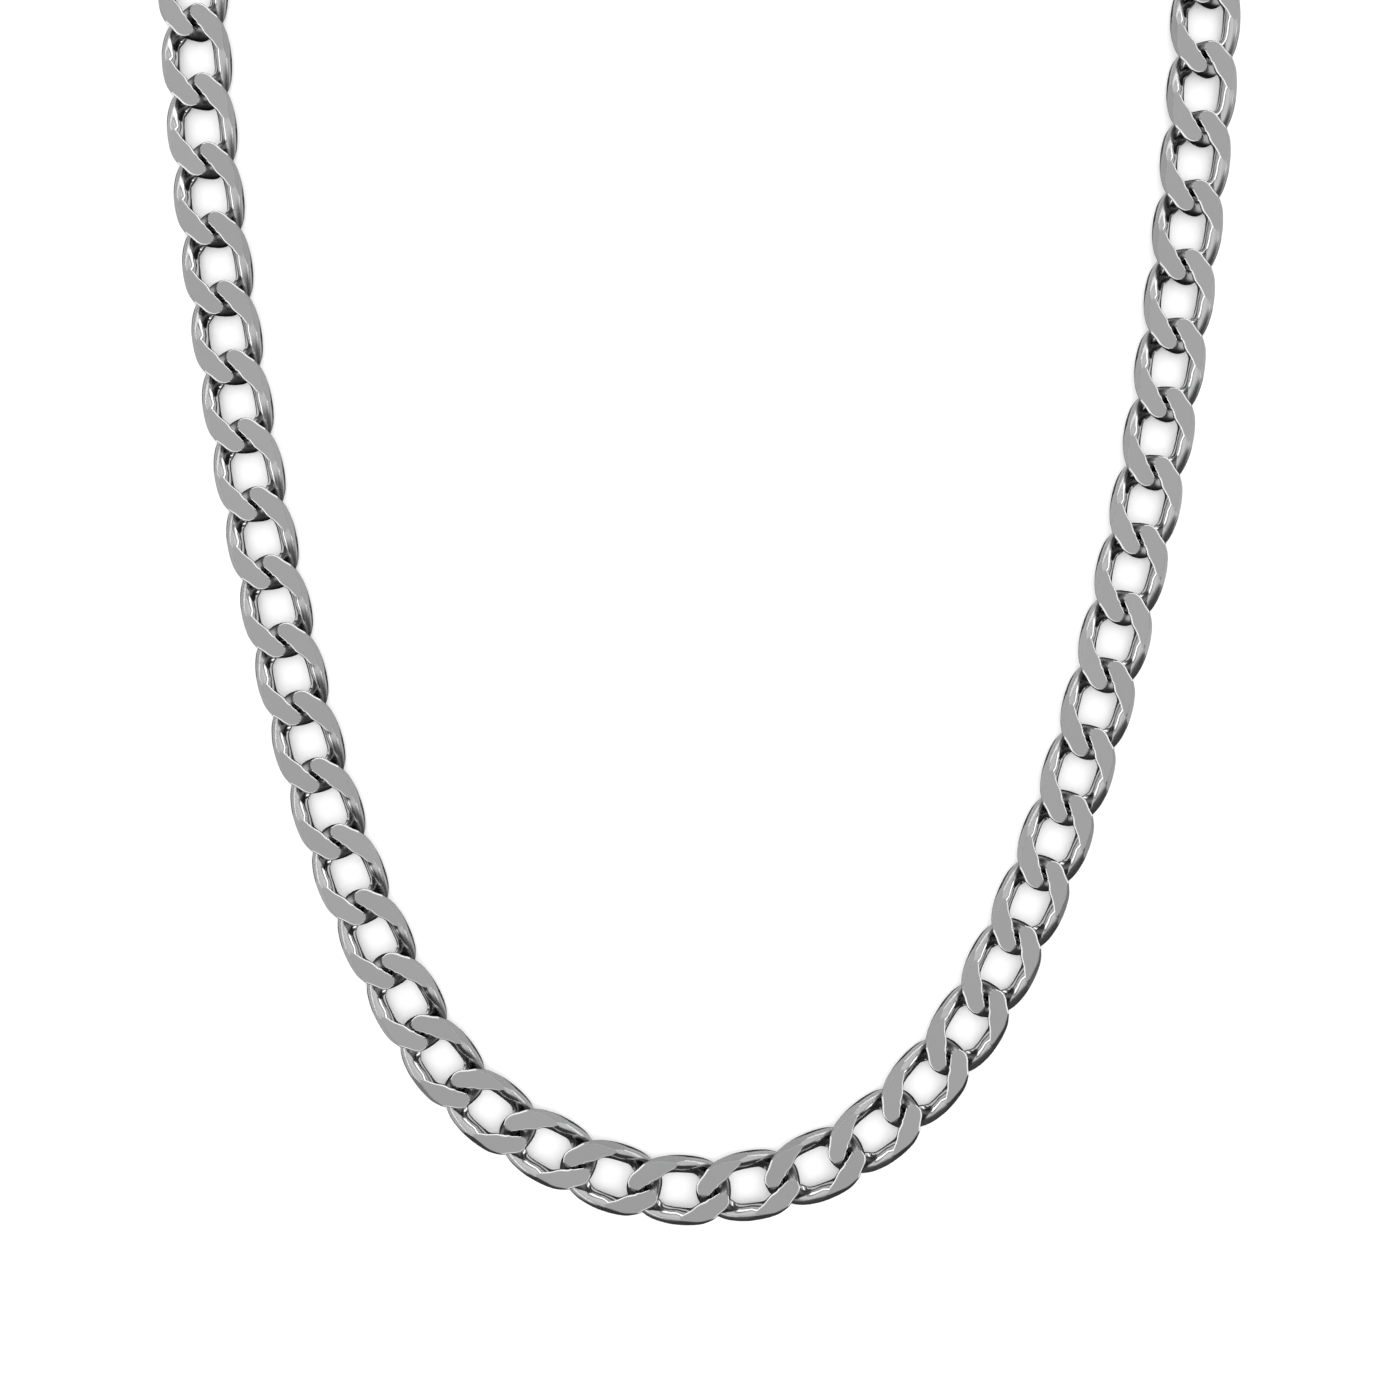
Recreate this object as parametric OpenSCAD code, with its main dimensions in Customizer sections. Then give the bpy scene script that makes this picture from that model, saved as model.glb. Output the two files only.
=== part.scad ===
// Curb chain necklace, fastened and lying flat as one closed loop.
// The links are closed ovals of wire, each twisted about the chain's length so that it
// lies in its neighbours. The pressed wire spreads a little towards the hole beside each
// joint, and the chain is then ground flat above and below and cut with two slanting
// facets along each side.
// X is to the wearer's left as the loop lies, Y points to the clasp, Z is up from the surface.

/* [Chain] */
// Distance from the middle of one link to the middle of the next
link_pitch = 8; // [7.8:0.1:9]
// Width of the chain over its side facets
chain_w = 8; // [7.8:0.1:9]
// Thickness of the chain between its two ground faces
chain_t = 2.3; // [1.9:0.1:2.7]
// Number of links, without the clasp
link_count = 62; // [48:1:64]
// Number of links on each side of the clasp that belong to the back of the chain
back_links = 10; // [4:1:14]

/* [Link] */
// Width of the wire along a link's sides, seen on the oval's own plane
wire_w = 2; // [1.8:0.05:2.2]
// Width of the wire where two links pull on each other
wire_end_w = 1.8; // [1.5:0.05:1.9]
// Height of the wire, square to the oval's own plane
wire_h = 2; // [1.7:0.05:2.1]
// How far the pressed wire spreads towards the hole beside a joint
wire_spread = 0.35; // [0.2:0.05:0.4]
// Play between the ends of two neighbouring links
link_play = 0.32; // [0.24:0.02:0.5]
// Turn of a link's end against its middle, in degrees
twist = 46; // [44:1:50]
// How square the oval is from above: 2 is an ellipse, more is fuller at the corners
oval_power = 2.3; // [2.2:0.05:2.5]
// How square the wire's section is: 2 is round, more is fuller at the corners
wire_power = 2.3; // [2:0.1:2.6]
// Slope of the side facets from the upright, in degrees
facet_slope = 38; // [30:1:45]
// Width of a side facet seen from above
facet_w = 0.67; // [0.5:0.01:0.8]

/* [Clasp] */
// Length of the clasp's body
clasp_l = 10.8; // [9:0.1:11.2]
// Width of the clasp's body
clasp_w = 8.6; // [7:0.1:10]
// Thickness of the clasp's body at its crown
clasp_t = 3.2; // [2.6:0.1:4]
// Radius of the body's corners seen from above
clasp_corner_r = 1.6; // [0.5:0.1:2.5]
// Radius of the crowned top across the body
clasp_crown_r = 7; // [5:0.5:20]
// Width of the wire of the clasp's two eyes
eye_w = 1.7; // [1.4:0.05:1.8]
// Height of the wire of the clasp's two eyes
eye_h = 1.7; // [1.4:0.05:1.9]
// Step down from the chain's two ground faces to the eyes' own
eye_step = 0.15; // [0.1:0.05:0.3]

/* [Hidden] */

steel = [0.62, 0.62, 0.63];
bright_steel = [0.72, 0.72, 0.73];

// The loop's own points, from the clasp down one arm, round the front and up the other arm
route = [
    [-1, 141.5], [-17.5, 139], [-32, 132], [-44.5, 120.5], [-53.5, 105], [-58, 87.5],
    [-57.5, 69], [-55.5, 50], [-52.5, 30], [-48.5, 9.5], [-43.5, -10.5], [-37, -28],
    [-28.5, -43], [-17.5, -51.5], [-5.5, -56], [7.5, -55.5], [19, -50.5], [29.5, -39.5],
    [37.5, -24.5], [44, -6.5], [49, 12.5], [53, 32], [56, 54],
    [58, 76], [57.5, 95], [51.5, 112.5], [41, 127], [27, 136.5], [12.5, 141]
];
// Short chords that each stretch between two points is walked in
route_steps = 12;

// Corners round a link's oval and round its wire
link_sides = 16;
wire_sides = 6;

// Half length and half width of the oval that the middle of the wire follows
link_a = (link_pitch + wire_end_w + link_play) / 2;
link_b = chain_w / 2 - wire_w / 2;
// Distance of a side facet's plane from the middle of the chain
facet_off = (chain_w / 2 - facet_w) * cos(facet_slope) + chain_t / 2 * sin(facet_slope);
// How quickly the wire narrows towards a link's ends
pinch_power = 6;
// Where along a link's half the wire spreads, as powers of the way out and of the way back
spread_out = 2.5;
spread_back = 0.8;
spread_top = pow(spread_out, spread_out) * pow(spread_back, spread_back)
    / pow(spread_out + spread_back, spread_out + spread_back);
// The same half length for an eye of the clasp, which meets a link with the same play
eye_a = link_pitch + (eye_w + wire_end_w) / 2 + link_play - link_a;

// Every link and both of the clasp's eyes take one place each on the loop
place_count = link_count + 2;
loop_l = place_count * link_pitch;

// Smooth curve through the route's points, closed on itself
function wrapped(list, i) = list[(i + len(list)) % len(list)];
function curve_point(p0, p1, p2, p3, t) = 0.5 * (
    2 * p1 + (p2 - p0) * t + (2 * p0 - 5 * p1 + 4 * p2 - p3) * t * t
    + (3 * p1 - p0 - 3 * p2 + p3) * t * t * t
);
raw_curve = [
    for (i = [0 : len(route) - 1], k = [0 : route_steps - 1])
        curve_point(wrapped(route, i - 1), route[i], wrapped(route, i + 1), wrapped(route, i + 2),
                    k / route_steps)
];
raw_chords = [for (i = [0 : len(raw_curve) - 1]) norm(wrapped(raw_curve, i + 1) - raw_curve[i])];
raw_sums = [for (i = 0, s = 0; i <= len(raw_chords);
                 s = s + (i < len(raw_chords) ? raw_chords[i] : 0), i = i + 1) s];
raw_l = raw_sums[len(raw_sums) - 1];
// The loop takes the chain's real length
route_scale = loop_l / raw_l;

// Point and heading at a length along the scaled loop
function chord_at(s, low, high) =
    high - low <= 1 ? low
    : let (mid = floor((low + high) / 2))
      raw_sums[mid] <= s ? chord_at(s, mid, high) : chord_at(s, low, mid);
function raw_point(s) =
    let (u = s - raw_l * floor(s / raw_l), i = chord_at(u, 0, len(raw_chords)))
    raw_curve[i] + (wrapped(raw_curve, i + 1) - raw_curve[i]) * (u - raw_sums[i]) / raw_chords[i];
function loop_point(s) = raw_point(s / route_scale) * route_scale;
function loop_heading(s) =
    let (d = loop_point(s + link_pitch / 2) - loop_point(s - link_pitch / 2)) atan2(d.y, d.x);

// Middle and heading of each place, the clasp's own two eyes first and last
function place_s(i) = (i + 0.5) * link_pitch;
links = [for (i = [1 : link_count]) [loop_point(place_s(i)), loop_heading(place_s(i))]];
clasp_at = loop_point(0);
clasp_heading = loop_heading(0);

// The wire's middle, twisted about the chain's length: a link's start has its left side high
function signed_pow(v, e) = sign(v) * pow(abs(v), e);
function oval_point(t, a) =
    let (x = a * signed_pow(cos(t), 2 / oval_power),
         y = link_b * signed_pow(sin(t), 2 / oval_power),
         turn = -twist * x / a)
    [x, y, y * tan(turn)];
function unit(v) = v / norm(v);

// One ring of the wire's section, square to the wire. It spreads towards the hole on its
// outer half, which is the upper half where the wire is high and the lower where it is low.
tangent_step = 1;
function spread_at(r) = pow(r, spread_out) * pow(1 - min(r, 1), spread_back) / spread_top;
function wire_ring(t, a, w_side, w_end, h, spread, thick) =
    let (c = oval_point(t, a),
         along = unit(oval_point(t + tangent_step, a) - oval_point(t - tangent_step, a)),
         turn = -twist * c.x / a,
         out = unit(cross(along, [0, -sin(turn), cos(turn)])),
         up = cross(out, along),
         r = abs(c.x) / a,
         w = w_side + (w_end - w_side) * pow(r, pinch_power))
    [for (j = [0 : wire_sides - 1])
        let (q = 360 * j / wire_sides,
             side = signed_pow(cos(q), 2 / wire_power),
             high = signed_pow(sin(q), 2 / wire_power),
             hold = min(0, high * sign(c.z)),
             more = side < 0 ? spread * spread_at(r) * pow(1 + hold, 2) : 0)
        ground(c + out * side * (w / 2 + more) + up * high * h / 2, thick)];

// What the grinding leaves of a point: four side facets, then the two flat faces
function cut_back(p, n, off) = p - max(0, p * n - off) * n;
function faceted(p, k) =
    k == 4 ? p
    : let (n = [0, (k % 2 == 0 ? 1 : -1) * cos(facet_slope), (k < 2 ? 1 : -1) * sin(facet_slope)])
      faceted(cut_back(p, n, facet_off), k + 1);
function ground(p, thick) =
    let (q = faceted(p, 0)) [q.x, q.y, max(-thick / 2, min(thick / 2, q.z))];

// A closed link round the middle of its hole
link_points = [
    for (i = [0 : link_sides - 1])
        each wire_ring(360 * i / link_sides, link_a, wire_w, wire_end_w, wire_h, wire_spread, chain_t)
];
function closed_faces(rings, first) = [
    for (i = [0 : rings - 1], j = [0 : wire_sides - 1])
        let (a = first + i * wire_sides + j,
             b = first + i * wire_sides + (j + 1) % wire_sides,
             c = first + ((i + 1) % rings) * wire_sides + j,
             d = first + ((i + 1) % rings) * wire_sides + (j + 1) % wire_sides)
        each [[a, b, c], [b, d, c]]
];

// The point moved to its place on the loop, with the loop's box centred on the origin
function turned(p, deg) = [p.x * cos(deg) - p.y * sin(deg), p.x * sin(deg) + p.y * cos(deg), p.z];
function placed(p, place) = turned(p, place[1]) + [place[0].x, place[0].y, chain_t / 2];
all_link_points = [for (place = links) each [for (p = link_points) placed(p, place)]];
// Straight stretches of the clasp's body between its round corners
clasp_flat_l = clasp_l - 2 * clasp_corner_r;
clasp_flat_w = clasp_w - 2 * clasp_corner_r;
clasp_top = clasp_at.y + clasp_corner_r
    + clasp_flat_w / 2 * abs(cos(clasp_heading)) + clasp_flat_l / 2 * abs(sin(clasp_heading));
loop_x = [for (p = all_link_points) p.x];
loop_y = [for (p = all_link_points) p.y];
box_mid = [(min(loop_x) + max(loop_x)) / 2, (min(loop_y) + max(max(loop_y), clasp_top)) / 2, 0];

// Links from one number to another as one set of closed solids
module link_run(ranges) {
    picked = [for (r = ranges, i = [r[0] : r[1]]) links[i]];
    points = [for (place = picked) each [for (p = link_points) placed(p, place) - box_mid]];
    faces = [for (i = [0 : len(picked) - 1]) each closed_faces(link_sides, i * len(link_points))];
    polyhedron(points = points, faces = faces, convexity = 10);
}

// Half a link of thinner wire, whose two legs run into the clasp's body
eye_rings = link_sides / 2 + 1;
function eye_angle(i) = -90 + 180 * i / (eye_rings - 1);
eye_t = chain_t - 2 * eye_step;
eye_points = [
    for (i = [0 : eye_rings - 1]) each wire_ring(eye_angle(i), eye_a, eye_w, eye_w, eye_h, 0, eye_t)
];
eye_last = (eye_rings - 1) * wire_sides;
eye_faces = [
    for (i = [0 : eye_rings - 2], j = [0 : wire_sides - 1])
        let (a = i * wire_sides + j,
             b = i * wire_sides + (j + 1) % wire_sides,
             c = a + wire_sides,
             d = b + wire_sides)
        each [[a, b, c], [b, d, c]],
    for (j = [1 : wire_sides - 2]) each [[0, j + 1, j], [eye_last, eye_last + j, eye_last + j + 1]]
];

module clasp_eye() {
    translate([link_pitch / 2, 0, chain_t / 2])
        polyhedron(points = eye_points, faces = eye_faces, convexity = 6);
}

// Plain body with round corners, flat below and crowned above
module clasp_body() {
    intersection() {
        linear_extrude(height = clasp_t) {
            square([clasp_l, clasp_flat_w], center = true);
            square([clasp_flat_l, clasp_w], center = true);
            for (sx = [-1, 1], sy = [-1, 1])
                translate([sx * clasp_flat_l / 2, sy * clasp_flat_w / 2])
                    circle(r = clasp_corner_r, $fn = 48);
        }
        translate([0, 0, clasp_t - clasp_crown_r])
            rotate([0, 90, 0])
                cylinder(r = clasp_crown_r, h = clasp_l + 1, center = true, $fn = 96);
    }
}

module chain_front() {
    color(steel) link_run([[back_links, link_count - back_links - 1]]);
}

module chain_back() {
    color(steel) link_run([[0, back_links - 1], [link_count - back_links, link_count - 1]]);
}

module clasp() {
    color(bright_steel)
        translate([clasp_at.x, clasp_at.y, 0] - box_mid)
            rotate([0, 0, clasp_heading]) {
                clasp_body();
                for (half_turn = [0, 180])
                    rotate([0, 0, half_turn]) clasp_eye();
            }
}

chain_front();
chain_back();
clasp();
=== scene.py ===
"""Curb chain necklace lying on a plain pale ground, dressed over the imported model."""

import logging
import math
from dataclasses import dataclass, field
from enum import IntEnum
from typing import Any, ClassVar, NamedTuple

import bmesh
import bpy
import numpy as np
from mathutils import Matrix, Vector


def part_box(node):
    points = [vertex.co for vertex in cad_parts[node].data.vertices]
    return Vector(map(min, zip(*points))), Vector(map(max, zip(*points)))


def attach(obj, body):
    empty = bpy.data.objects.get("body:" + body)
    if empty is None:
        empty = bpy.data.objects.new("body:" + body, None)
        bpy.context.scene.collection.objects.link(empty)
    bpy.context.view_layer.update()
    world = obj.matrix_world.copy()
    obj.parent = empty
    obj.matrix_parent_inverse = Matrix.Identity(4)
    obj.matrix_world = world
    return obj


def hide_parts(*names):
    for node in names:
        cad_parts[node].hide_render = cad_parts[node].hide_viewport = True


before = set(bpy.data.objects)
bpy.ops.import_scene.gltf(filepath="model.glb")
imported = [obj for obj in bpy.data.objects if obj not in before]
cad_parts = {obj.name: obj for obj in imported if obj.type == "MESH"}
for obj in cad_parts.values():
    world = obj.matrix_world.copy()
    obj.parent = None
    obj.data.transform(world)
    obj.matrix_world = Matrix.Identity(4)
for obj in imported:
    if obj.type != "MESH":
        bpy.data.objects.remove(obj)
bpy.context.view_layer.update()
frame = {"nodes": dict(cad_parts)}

# A millimetre in metres, a half turn in degrees, and the chain's width in millimetres.
MM = 0.001
HALF_TURN_DEG = 180.0
CHAIN_W = 8.0
BODY = "root"
log = logging.getLogger("necklace")


class Surface(IntEnum):
    """Kinds of surface on a link and on the clasp, each with a material slot of its own."""

    WIRE = 0
    FLAT = 1
    FACET = 2
    RIM = 3
    SIDE = 4


# Shader graphs and finishes.


@dataclass(frozen=True)
class Number:
    """A float socket that Python's operators turn into Math nodes."""

    graph: "Graph"
    socket: bpy.types.NodeSocket

    def __add__(self, other: "Number | float") -> "Number":
        """Sum."""
        return self.graph.math("ADD", self, other)

    __radd__ = __add__

    def __sub__(self, other: "Number | float") -> "Number":
        """Difference."""
        return self.graph.math("SUBTRACT", self, other)

    def __rsub__(self, other: float) -> "Number":
        """Difference from a plain number."""
        return self.graph.math("SUBTRACT", other, self)

    def __mul__(self, other: "Number | float") -> "Number":
        """Product."""
        return self.graph.math("MULTIPLY", self, other)

    __rmul__ = __mul__


class Graph:
    """Node tree of a material or of the world."""

    # Numbers of the Mix node's colour sockets.
    MIX_DARK = 6
    MIX_LIGHT = 7
    MIX_RESULT = 2

    def __init__(self, tree: bpy.types.NodeTree) -> None:
        """Empties the tree.

        Args:
            tree: the tree that nodes are added to.
        """
        tree.nodes.clear()
        self.tree = tree

    def add(self, kind: str, settings: dict[str, Any] | None = None,
            inputs: dict[str | int, Any] | None = None) -> bpy.types.Node:
        """Adds one node.

        Args:
            kind: Blender's name of the node type.
            settings: the node's own values, with a ramp's stops under "stops".
            inputs: a value, a socket or a Number for each named or numbered input.

        Returns:
            The new node.
        """
        node = self.tree.nodes.new(kind)
        for key, value in (settings or {}).items():
            if key == "stops":
                self._set_stops(node.color_ramp, value)
            else:
                setattr(node, key, value)
        for key, value in (inputs or {}).items():
            target = node.inputs[key]
            source = value.socket if isinstance(value, Number) else value
            if isinstance(source, bpy.types.NodeSocket):
                self.tree.links.new(source, target)
            else:
                target.default_value = source
        return node

    @staticmethod
    def _set_stops(ramp: bpy.types.ColorRamp, stops: list[tuple[float, float]]) -> None:
        """Gives a ramp grey stops.

        Args:
            ramp: the ramp to fill.
            stops: place and brightness of each stop.
        """
        while len(ramp.elements) < len(stops):
            ramp.elements.new(1.0)
        for element, (place, grey) in zip(ramp.elements, stops):
            element.position = place
            element.color = (grey, grey, grey, 1.0)

    def math(self, operation: str, first: Number | float, second: Number | float = 0.0) -> Number:
        """Adds a Math node.

        Args:
            operation: Blender's name of the operation.
            first: first operand.
            second: second operand, where the operation has one.

        Returns:
            The result.
        """
        node = self.add("ShaderNodeMath", {"operation": operation}, {0: first, 1: second})
        return Number(self, node.outputs[0])

    def smooth(self, value: Number, low: float, high: float) -> Number:
        """Rises smoothly from 0 at low to 1 at high.

        Args:
            value: what is measured.
            low: value that gives 0.
            high: value that gives 1.

        Returns:
            The step.
        """
        node = self.add("ShaderNodeMapRange", {"interpolation_type": "SMOOTHSTEP"},
                        {"Value": value, "From Min": low, "From Max": high})
        return Number(self, node.outputs[0])

    def attribute(self, name: str) -> Number:
        """Reads a number that is stored on the mesh's points."""
        node = self.add("ShaderNodeAttribute", {"attribute_name": name})
        return Number(self, node.outputs["Fac"])

    def colour(self, factor: Number, dark: tuple[float, ...],
               light: tuple[float, ...]) -> bpy.types.NodeSocket:
        """Mixes two colours.

        Args:
            factor: 0 for the dark colour, 1 for the light one.
            dark: red, green and blue.
            light: red, green and blue.

        Returns:
            The colour socket.
        """
        node = self.add("ShaderNodeMix", {"data_type": "RGBA"},
                        {0: factor, self.MIX_DARK: (*dark, 1.0), self.MIX_LIGHT: (*light, 1.0)})
        return node.outputs[self.MIX_RESULT]


@dataclass(frozen=True)
class SteelFinish:
    """One finish of the steel, with the marks that its making leaves and, where set, painted shade
    deep in the joints.

    Attributes:
        name: the material's name.
        colour: the bare steel's colour.
        roughness: its middle roughness.
        tone_depth: how much the links differ in shade.
        grain: steps of the grain to a millimetre along, across and up the link.
        grain_rough: how much the grain changes the roughness.
        grain_tone: how much it changes the shade.
        grain_relief: how strongly it stands out.
        joint_shade_strength: strength of the painted shade deep in a joint, where the neighbouring
            links block the light.
    """

    # The noise that makes the grain, and the height of its relief.
    GRAIN_DETAIL: ClassVar[float] = 3.0
    GRAIN_ROUGHNESS: ClassVar[float] = 0.6
    GRAIN_MIDDLE: ClassVar[float] = 0.5
    GRAIN_HEIGHT: ClassVar[float] = 0.02 * MM

    name: str
    colour: tuple[float, float, float]
    roughness: float
    tone_depth: float
    grain: tuple[float, float, float]
    grain_rough: float
    grain_tone: float
    grain_relief: float
    joint_shade_strength: float = 0.0

    def material(self) -> bpy.types.Material:
        """Builds the finish's node material.

        Returns:
            The material, whose grain runs along each link's own axes.
        """
        material = bpy.data.materials.new(self.name)
        material.use_nodes = True
        graph = Graph(material.node_tree)
        place = graph.add("ShaderNodeAttribute", {"attribute_name": "place"})
        tone = graph.attribute("tone")
        along = graph.add("ShaderNodeVectorMath", {"operation": "MULTIPLY"},
                          {0: place.outputs["Vector"], 1: self.grain})
        noise = graph.add("ShaderNodeTexNoise", {}, {
            "Vector": along.outputs[0], "Scale": 1.0, "Detail": self.GRAIN_DETAIL,
            "Roughness": self.GRAIN_ROUGHNESS})
        grain = Number(graph, noise.outputs["Fac"])
        shade = tone * self.tone_depth + grain * self.grain_tone
        span = self.tone_depth + self.grain_tone
        dark = tuple(c * (1.0 - span / 2) for c in self.colour)
        light = tuple(min(1.0, c * (1.0 + span / 2)) for c in self.colour)
        colour = graph.colour(shade * (1.0 / span), dark, light)
        # Painted shade: the colour darkens where a point lies deep in a joint, where the
        # neighbouring links block the light.
        if self.joint_shade_strength:
            left = 1.0 - graph.attribute("sunk") * self.joint_shade_strength
            colour = graph.add("ShaderNodeVectorMath", {"operation": "SCALE"},
                               {0: colour, "Scale": left}).outputs[0]
        rough = (grain - self.GRAIN_MIDDLE) * self.grain_rough + self.roughness
        relief = graph.add("ShaderNodeBump", {}, {
            "Strength": self.grain_relief, "Distance": self.GRAIN_HEIGHT, "Height": grain})
        shader = graph.add("ShaderNodeBsdfPrincipled", {}, {
            "Base Color": colour, "Metallic": 1.0, "Roughness": rough,
            "Normal": relief.outputs[0]})
        graph.add("ShaderNodeOutputMaterial", {}, {"Surface": shader.outputs[0]})
        return material


GROUND_FLAT = SteelFinish(
    name="ground_flat_steel", colour=(0.36, 0.36, 0.362), roughness=0.40, tone_depth=0.07,
    grain=(0.5, 9.0, 1.0), grain_rough=0.10, grain_tone=0.04, grain_relief=0.05)
# The polished wire and the satin sides carry painted shade deep in the joints.
ROUND_WIRE = SteelFinish(
    name="polished_wire_steel", colour=(0.56, 0.56, 0.565), roughness=0.13, tone_depth=0.04,
    grain=(0.6, 3.0, 3.0), grain_rough=0.06, grain_tone=0.04, grain_relief=0.05, joint_shade_strength=0.95)
SIDE_FACET = SteelFinish(
    name="side_facet_steel", colour=(0.5, 0.5, 0.505), roughness=0.24, tone_depth=0.10,
    grain=(0.35, 2.0, 3.5), grain_rough=0.10, grain_tone=0.08, grain_relief=0.08)
# The rims are polished, and their colour, brighter than steel's, is a painted highlight.
RIM_PAINTED_HIGHLIGHT = SteelFinish(
    name="bright_rim_steel", colour=(0.93, 0.93, 0.93), roughness=0.12, tone_depth=0.02,
    grain=(0.8, 3.0, 3.0), grain_rough=0.05, grain_tone=0.02, grain_relief=0.0)
SATIN_SIDE = SteelFinish(
    name="satin_side_steel", colour=(0.49, 0.49, 0.493), roughness=0.26, tone_depth=0.08,
    grain=(0.35, 2.0, 3.5), grain_rough=0.06, grain_tone=0.06, grain_relief=0.04, joint_shade_strength=0.85)
FINISHES = {Surface.WIRE: ROUND_WIRE, Surface.FLAT: GROUND_FLAT, Surface.FACET: SIDE_FACET,
            Surface.RIM: RIM_PAINTED_HIGHLIGHT, Surface.SIDE: SATIN_SIDE}


# Surfaces as arrays.


@dataclass
class Skin:
    """Triangles of one form in millimetres, with each point's normal and painted joint shade."""

    points: np.ndarray
    normals: np.ndarray
    triangles: np.ndarray
    surfaces: np.ndarray
    sunk: np.ndarray

    def joined(self, other: "Skin") -> "Skin":
        """Puts another skin beside this one.

        Args:
            other: the skin to add.

        Returns:
            Both skins as one.
        """
        return Skin(np.vstack([self.points, other.points]),
                    np.vstack([self.normals, other.normals]),
                    np.vstack([self.triangles, other.triangles + len(self.points)]),
                    np.r_[self.surfaces, other.surfaces], np.r_[self.sunk, other.sunk])

    def turned(self, angle: float, shift: tuple[float, float, float]) -> "Skin":
        """Turns the skin about the vertical and moves it.

        Args:
            angle: turn in radians.
            shift: move in millimetres.

        Returns:
            The moved skin.
        """
        turn = turn_matrix(angle)
        return Skin(self.points @ turn.T + np.array(shift), self.normals @ turn.T,
                    self.triangles, self.surfaces, self.sunk)


def turn_matrix(angle: float) -> np.ndarray:
    """Matrix of a turn about the vertical by an angle in radians."""
    cosine, sine = math.cos(angle), math.sin(angle)
    return np.array([[cosine, -sine, 0.0], [sine, cosine, 0.0], [0.0, 0.0, 1.0]])


def unit(vector: np.ndarray) -> np.ndarray:
    """The vector, or each of an array's vectors, at length 1."""
    return vector / np.linalg.norm(vector, axis=-1, keepdims=True)


def signed_power(value: np.ndarray, power: float) -> np.ndarray:
    """Power of the size of a number that keeps its sign."""
    return np.sign(value) * np.abs(value) ** power


def rise(value: np.ndarray | float, low: float, high: float) -> np.ndarray:
    """Smooth step from 0 at low to 1 at high."""
    share = np.clip((value - low) / (high - low), 0.0, 1.0)
    return share * share * (3.0 - 2.0 * share)


# Places from the frame.


@dataclass(frozen=True)
class Place:
    """Where a link or the clasp stands on the ground, in metres and radians."""

    middle: np.ndarray
    heading: float
    node: str


class Loop:
    """Places of all links and of the clasp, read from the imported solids."""

    WELD = 1e-6
    # Weights that put a point halfway along the smooth curve through four points in a row.
    NEAR = 9
    WEIGHTS = 16

    def __init__(self, solids: dict[str, bpy.types.Object], runs: list[str], clasp: str) -> None:
        """Walks the closed chain from the clasp.

        Args:
            solids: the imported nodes.
            runs: names of the nodes that hold links.
            clasp: name of the clasp's node.
        """
        waiting = [(middle, name) for name in runs for middle in self._middles(solids[name])]
        clasp_middle = self._middles(solids[clasp])[0]
        walked = []
        here = clasp_middle
        while waiting:
            nearest = min(range(len(waiting)), key=lambda i: np.linalg.norm(waiting[i][0] - here))
            walked.append(waiting.pop(nearest))
            here = walked[-1][0]
        middles = [middle for middle, _ in walked]
        steps = np.linalg.norm(np.diff(np.array(middles), axis=0), axis=1)
        self.pitch = float(np.median(steps))
        across = unit(middles[0] - middles[-1])
        half = across * self.pitch / 2
        ring = np.array(middles + [clasp_middle - half, clasp_middle + half])
        near = self.NEAR * (ring + np.roll(ring, -1, 0))
        joints = (near - np.roll(ring, 1, 0) - np.roll(ring, -2, 0)) / self.WEIGHTS
        ways = joints - np.roll(joints, 1, 0)
        self.links = [Place(middle, math.atan2(way[1], way[0]), name)
                      for (middle, name), way in zip(walked, ways)]
        self.clasp = Place(clasp_middle, math.atan2(across[1], across[0]), clasp)

    def _middles(self, solid: bpy.types.Object) -> list[np.ndarray]:
        """Finds the middle of each closed shell.

        Args:
            solid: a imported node.

        Returns:
            One point on the ground plane for each shell.
        """
        mesh = bmesh.new()
        mesh.from_mesh(solid.data)
        bmesh.ops.remove_doubles(mesh, verts=mesh.verts, dist=self.WELD)
        mesh.faces.ensure_lookup_table()
        mesh.faces.index_update()
        seen = [False] * len(mesh.faces)
        middles = []
        for start in mesh.faces:
            if seen[start.index]:
                continue
            seen[start.index] = True
            shell = [start]
            area = 0.0
            moment = np.zeros(3)
            while shell:
                face = shell.pop()
                area += face.calc_area()
                moment += np.array(face.calc_center_median()) * face.calc_area()
                for neighbour in (f for v in face.verts for f in v.link_faces):
                    if not seen[neighbour.index]:
                        seen[neighbour.index] = True
                        shell.append(neighbour)
            middles.append((moment / area)[:2])
        mesh.free()
        return middles


# The link.


@dataclass
class Corner:
    """A corner of a wire section.

    Attributes:
        place: where it is, outwards and upwards from the wire's middle.
        before: direction of the surface before it.
        after: direction of the surface after it.
        surface: kind of the surface after it.
        step: its number on the unground section, or -1 where a cut made it.
        key: name of the edge that it lies on.
        ground: whether it parts two ground surfaces.
    """

    place: np.ndarray
    before: np.ndarray
    after: np.ndarray
    surface: Surface
    step: int = -1
    key: str = ""
    ground: bool = False


class RingPoint(NamedTuple):
    """A point of a ground section, with the surface that follows it."""

    place: np.ndarray
    normal: np.ndarray
    surface: Surface
    key: str


@dataclass
class Ring:
    """Points round one section of the wire, from the innermost on."""

    points: np.ndarray
    normals: np.ndarray
    surfaces: list[Surface]
    keys: list[str]


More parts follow.
